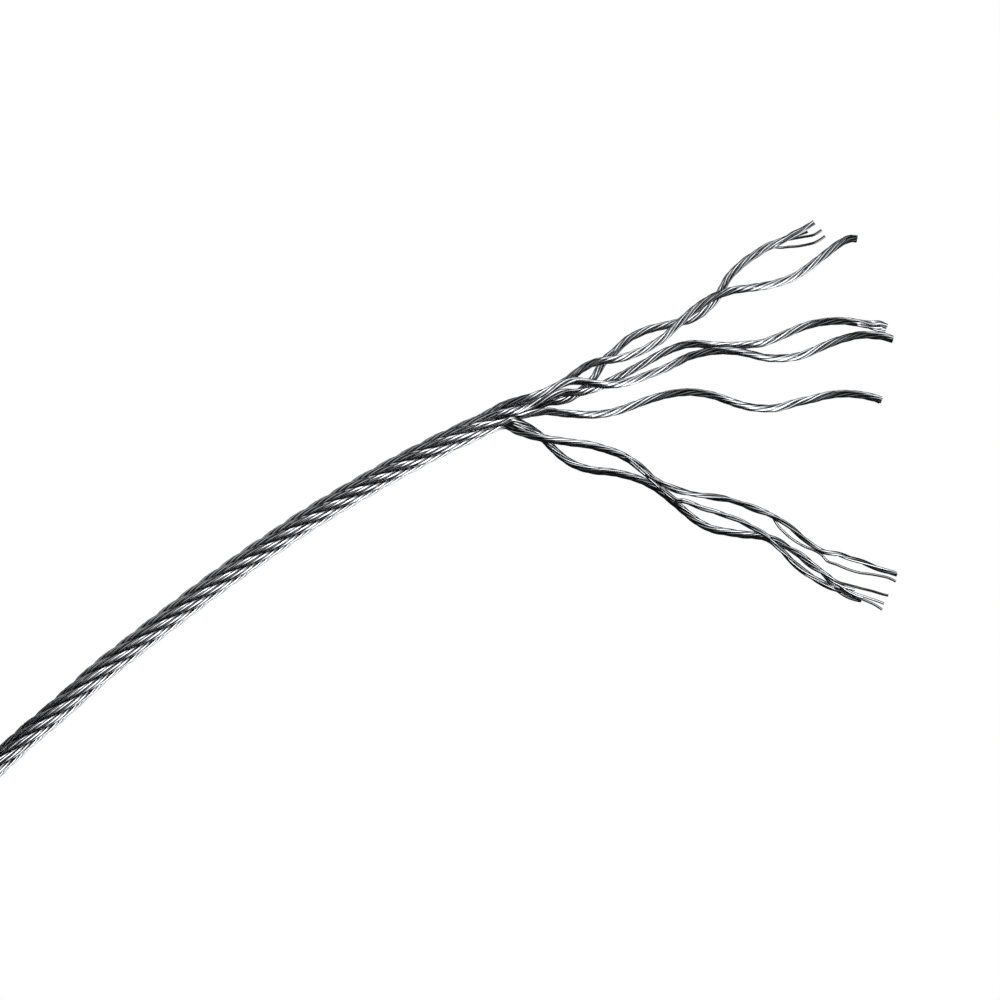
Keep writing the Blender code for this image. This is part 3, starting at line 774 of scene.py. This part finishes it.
def nylon_material():
    """Satin black nylon with a fine moulded grain."""
    material = bpy.data.materials.new("black_nylon")
    nodes, links, shader = material_parts(material)
    noise = nodes.new("ShaderNodeTexNoise")
    noise.inputs["Scale"].default_value = 900.0
    noise.inputs["Detail"].default_value = 4.0
    place = nodes.new("ShaderNodeTexCoord")
    links.new(place.outputs["Object"], noise.inputs["Vector"])
    grain = noise.outputs["Fac"]
    links.new(mix_colours(nodes, links, grain, DARK_NYLON, LIGHT_NYLON), shader.inputs["Base Color"])
    roughness = rough_between(nodes, links, grain, smoothest=0.35, roughest=0.55)
    links.new(roughness, shader.inputs["Roughness"])
    add_bump(nodes, links, grain, distance=0.03 * MM, strength=0.25)
    return material


def glowing_material(name, strength):
    """Plain white that shows evenly, and that no light or shadow changes."""
    material = bpy.data.materials.new(name)
    _, _, shader = material_parts(material)
    shader.inputs["Base Color"].default_value = BLACK
    shader.inputs["Roughness"].default_value = 1.0
    shader.inputs["Specular IOR Level"].default_value = 0.0
    shader.inputs["Emission Color"].default_value = WHITE
    shader.inputs["Emission Strength"].default_value = strength
    return material


STEEL = steel_material()
LAID_STEEL = laid_steel_material()
NYLON = nylon_material()
DRAW = np.random.default_rng(7)


# Rope

def dress_cord(mesh, name, nodes):
    """Makes one steel cord of a mesh, in the place of the solids that stand for it."""
    piece = mesh.finish(name)
    piece.data.materials.append(STEEL)
    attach(piece, "root")
    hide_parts(*nodes)
    return piece


def build_rope():
    """Whole strands in the coil, and every wire that shows where the rope leaves it."""
    mesh = MeshBuilder()
    axis, along = rope_stretch(0.0, WIRES_FROM + WHOLE_STRANDS_OVERLAP, COIL_STEP)
    for order in range(len(STRAND_ORDER)):
        strand = offset_line(axis, STRAND_DIAMETER, strand_angle(order, along))
        mesh.tube(strand, STRAND_DIAMETER / 2, COIL_STRAND_SIDES, DRAW.uniform(*BRIGHT))
    laid_faces = len(mesh.faces)
    for name in STRAND_ROUTES:
        line, at, opening = strand_line(name)
        start = opening - CORE_SHOWS if name == "core_strand" else 0.0
        middle, along = line_between(line, at, start, opening, CLOSED_STEP)
        for number in range(OUTER_WIRES):
            wire = wire_line(middle, along, number)
            tint = DRAW.uniform(*BRIGHT)
            mesh.tube(wire, WIRE_DIAMETER / 2, CLOSED_WIRE_SIDES, tint, middle, closed=True)
    piece = dress_cord(
        mesh, "rope", ("coil", "rope_run"),
    )
    piece.data.materials.append(LAID_STEEL)
    slots = np.zeros(len(mesh.faces), dtype=np.int32)
    slots[:laid_faces] = 1
    piece.data.polygons.foreach_set("material_index", slots)


def turning(line):
    """How sharply a line of free steps turns left on the plan, from -1 to 1, smoothed."""
    steps = np.gradient(line, axis=0)
    heading = np.unwrap(np.arctan2(steps[:, 1], steps[:, 0]))
    window = np.hanning(TURNING_WINDOW)
    padded = np.pad(np.gradient(heading), TURNING_WINDOW // 2, mode="edge")
    return np.tanh(np.convolve(padded, window / window.sum(), mode="valid") / FULL_TURNING)


def build_strand(name):
    """The seven wires of a free strand, from the opening to their tips."""
    line, at, opening = strand_line(name)
    mesh = MeshBuilder()
    splayed = {}
    for numbers, route in SPLAYED.get(name, ()):
        leaves = nearest_place(line, at, on_plan(route[:1])[0])
        for number, loose in zip(numbers, fanned(route, len(numbers))):
            splayed[number] = (leaves, loose)
    for number in range(CORE_WIRE + 1):
        end = at[-1] - DRAW.uniform(0.0, CUT_UNEVENNESS) * MM
        if name == "strand_5" and number in STRAY_WIRES:
            end = nearest_place(line, at, on_plan((STRAYS_LEAVE_AT,))[0])
        if number in splayed:
            end = splayed[number][0]
        middle, along = line_between(line, at, opening, end, FREE_STEP)
        wire = wire_line(middle, along, number)
        if number in splayed:
            wire = joined(wire, splayed[number][1])
            middle = middle[:-JOIN]
        if number == CORE_WIRE:
            middle = None
        tint = DRAW.uniform(*DULL)
        # Painted highlight on left bends and painted shade on the other bends, added to the wire's tint
        if name in STRANDS_WITH_PAINTED_BEND_LIGHT:
            painted_bend_light = np.interp(along, at, turning(line))[:len(wire)]
            painted_bend_light = np.pad(painted_bend_light, (0, len(wire) - len(painted_bend_light)), mode="edge")
            tint = np.clip(tint + PAINTED_BEND_HIGHLIGHT * np.maximum(painted_bend_light, DEEPEST_PAINTED_BEND_SHADE), 0.0, 1.0)
        mesh.tube(wire, WIRE_DIAMETER / 2, FREE_WIRE_SIDES, tint, middle)
    dress_cord(
        mesh, "wires_of_" + name, (name,),
    )


def build_stray_wires():
    """Three wires that leave strand 5, cross strand 6 and splay."""
    strand, at, _ = strand_line("strand_5")
    leaves = nearest_place(strand, at, on_plan((STRAYS_LEAVE_AT,))[0])
    middle, along = line_between(strand, at, leaves - STRAY_LEAD, leaves, FREE_STEP)
    route = smooth_route(on_plan(STRAY_GROUP_ROUTE), FREE_STEP)
    mesh = MeshBuilder()
    for number, tip in zip(STRAY_WIRES, STRAY_TIPS):
        held = wire_line(middle, along, number)
        turn = 2 * math.pi * (-number / len(STRAY_WIRES) - travelled(route) / STRAND_LAY)
        loose = offset_line(route, FAN_SPREAD[len(STRAY_WIRES)] * WIRE_DIAMETER, turn)
        end = smooth_route(on_plan(tip), FREE_STEP)
        until = np.argmin(np.linalg.norm(loose - end[0], axis=1))
        wire = joined(joined(held, loose[:until]), end)
        mesh.tube(wire, WIRE_DIAMETER / 2, FREE_WIRE_SIDES, DRAW.uniform(*DULL))
    dress_cord(
        mesh, "three_stray_wires", ("stray_wires",),
    )


def dress_ties():
    for name in ("tie_1", "tie_2", "tie_3"):
        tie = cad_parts[name]
        tie.data.materials.clear()
        tie.data.materials.append(NYLON)


# Camera, light and floor

def add_camera():
    camera_data = bpy.data.cameras.new("camera")
    camera_data.sensor_width = SENSOR_WIDTH
    camera_data.lens = SENSOR_WIDTH * CAMERA_HEIGHT / VIEW_SIDE
    camera = bpy.data.objects.new("camera", camera_data)
    middle = np.array((VIEW_SIDE / 2, VIEW_SIDE / 2, 0.0)) + PLAN_TO_WORLD
    camera.location = (middle[0], middle[1], CAMERA_HEIGHT)
    bpy.context.scene.collection.objects.link(camera)
    bpy.context.scene.camera = camera


def add_floor():
    data = bpy.data.meshes.new("floor")
    half = FLOOR_HALF_SIDE
    corners = [(-half, -half, 0), (half, -half, 0), (half, half, 0), (-half, half, 0)]
    data.from_pydata(corners, [], [(0, 1, 2, 3)])
    floor = bpy.data.objects.new("floor", data)
    bpy.context.scene.collection.objects.link(floor)
    data.materials.append(glowing_material("white_floor", 1.0))
    floor.visible_glossy = False


def add_world():
    """A long soft light across the sky, and round soft ones, in a dark room."""
    world = bpy.data.worlds.new("studio")
    bpy.context.scene.world = world
    world.use_nodes = True
    nodes = world.node_tree.nodes
    links = world.node_tree.links
    background = nodes["Background"]
    place = nodes.new("ShaderNodeTexCoord")

    def towards(azimuth, from_zenith):
        dot = nodes.new("ShaderNodeVectorMath")
        dot.operation = "DOT_PRODUCT"
        links.new(place.outputs["Generated"], dot.inputs[0])
        dot.inputs[1].default_value = (
            math.sin(from_zenith) * math.cos(azimuth),
            math.sin(from_zenith) * math.sin(azimuth),
            math.cos(from_zenith),
        )
        return dot.outputs["Value"]

    def ramp(value, low, high, strength):
        step = nodes.new("ShaderNodeMapRange")
        step.interpolation_type = "SMOOTHSTEP"
        step.inputs["From Min"].default_value = low
        step.inputs["From Max"].default_value = high
        step.inputs["To Max"].default_value = strength
        links.new(value, step.inputs["Value"])
        return step.outputs["Result"]

    def combine(operation, first, second):
        node = nodes.new("ShaderNodeMath")
        node.operation = operation
        links.new(first, node.inputs[0])
        if isinstance(second, float):
            node.inputs[1].default_value = second
        else:
            links.new(second, node.inputs[1])
        return node.outputs["Value"]

    slope = math.radians(STRIP_SLOPE)
    across = towards(math.radians(STRIP_AZIMUTH), math.pi / 2 + slope)
    off_middle = combine("ABSOLUTE", combine("SUBTRACT", across, math.sin(slope)), 0.0)
    strip = ramp(off_middle, STRIP_HALF_WIDTH + STRIP_EDGE, STRIP_HALF_WIDTH - STRIP_EDGE, STRIP_STRENGTH)
    above_floor = ramp(towards(0.0, 0.0), *HORIZON_FADE, 1.0)
    level = combine("ADD", combine("MULTIPLY", strip, above_floor), ROOM_LEVEL)
    for azimuth, from_zenith, radius, strength in SOFT_LIGHTS:
        facing = towards(math.radians(azimuth), math.radians(from_zenith))
        outer = math.cos(math.radians(radius + SOFT_EDGE))
        inner = math.cos(math.radians(radius - SOFT_EDGE))
        level = combine("ADD", ramp(facing, outer, inner, strength), level)
    links.new(level, background.inputs["Strength"])
    background.inputs["Color"].default_value = COOL_WHITE


def add_backdrop():
    """A pale wall all round, far off, for the views from the side. It lights nothing."""
    corners = []
    for level in WALL_LEVELS:
        for side in range(WALL_SIDES):
            turn = 2 * math.pi * side / WALL_SIDES
            corners.append((WALL_RADIUS * math.cos(turn), WALL_RADIUS * math.sin(turn), level))
    faces = []
    for side in range(WALL_SIDES):
        after = (side + 1) % WALL_SIDES
        faces.append((side, after, after + WALL_SIDES, side + WALL_SIDES))
    data = bpy.data.meshes.new("backdrop")
    data.from_pydata(corners, [], faces)
    wall = bpy.data.objects.new("backdrop", data)
    bpy.context.scene.collection.objects.link(wall)
    data.materials.append(glowing_material("pale_backdrop", WALL_GLOW))
    wall.visible_glossy = False
    wall.visible_diffuse = False
    wall.visible_transmission = False
    wall.visible_shadow = False


add_camera()
build_rope()
for strand_name in STRAND_ROUTES:
    build_strand(strand_name)
build_stray_wires()
dress_ties()
add_floor()
add_backdrop()
add_world()
bpy.context.scene.view_settings.view_transform = "Standard"
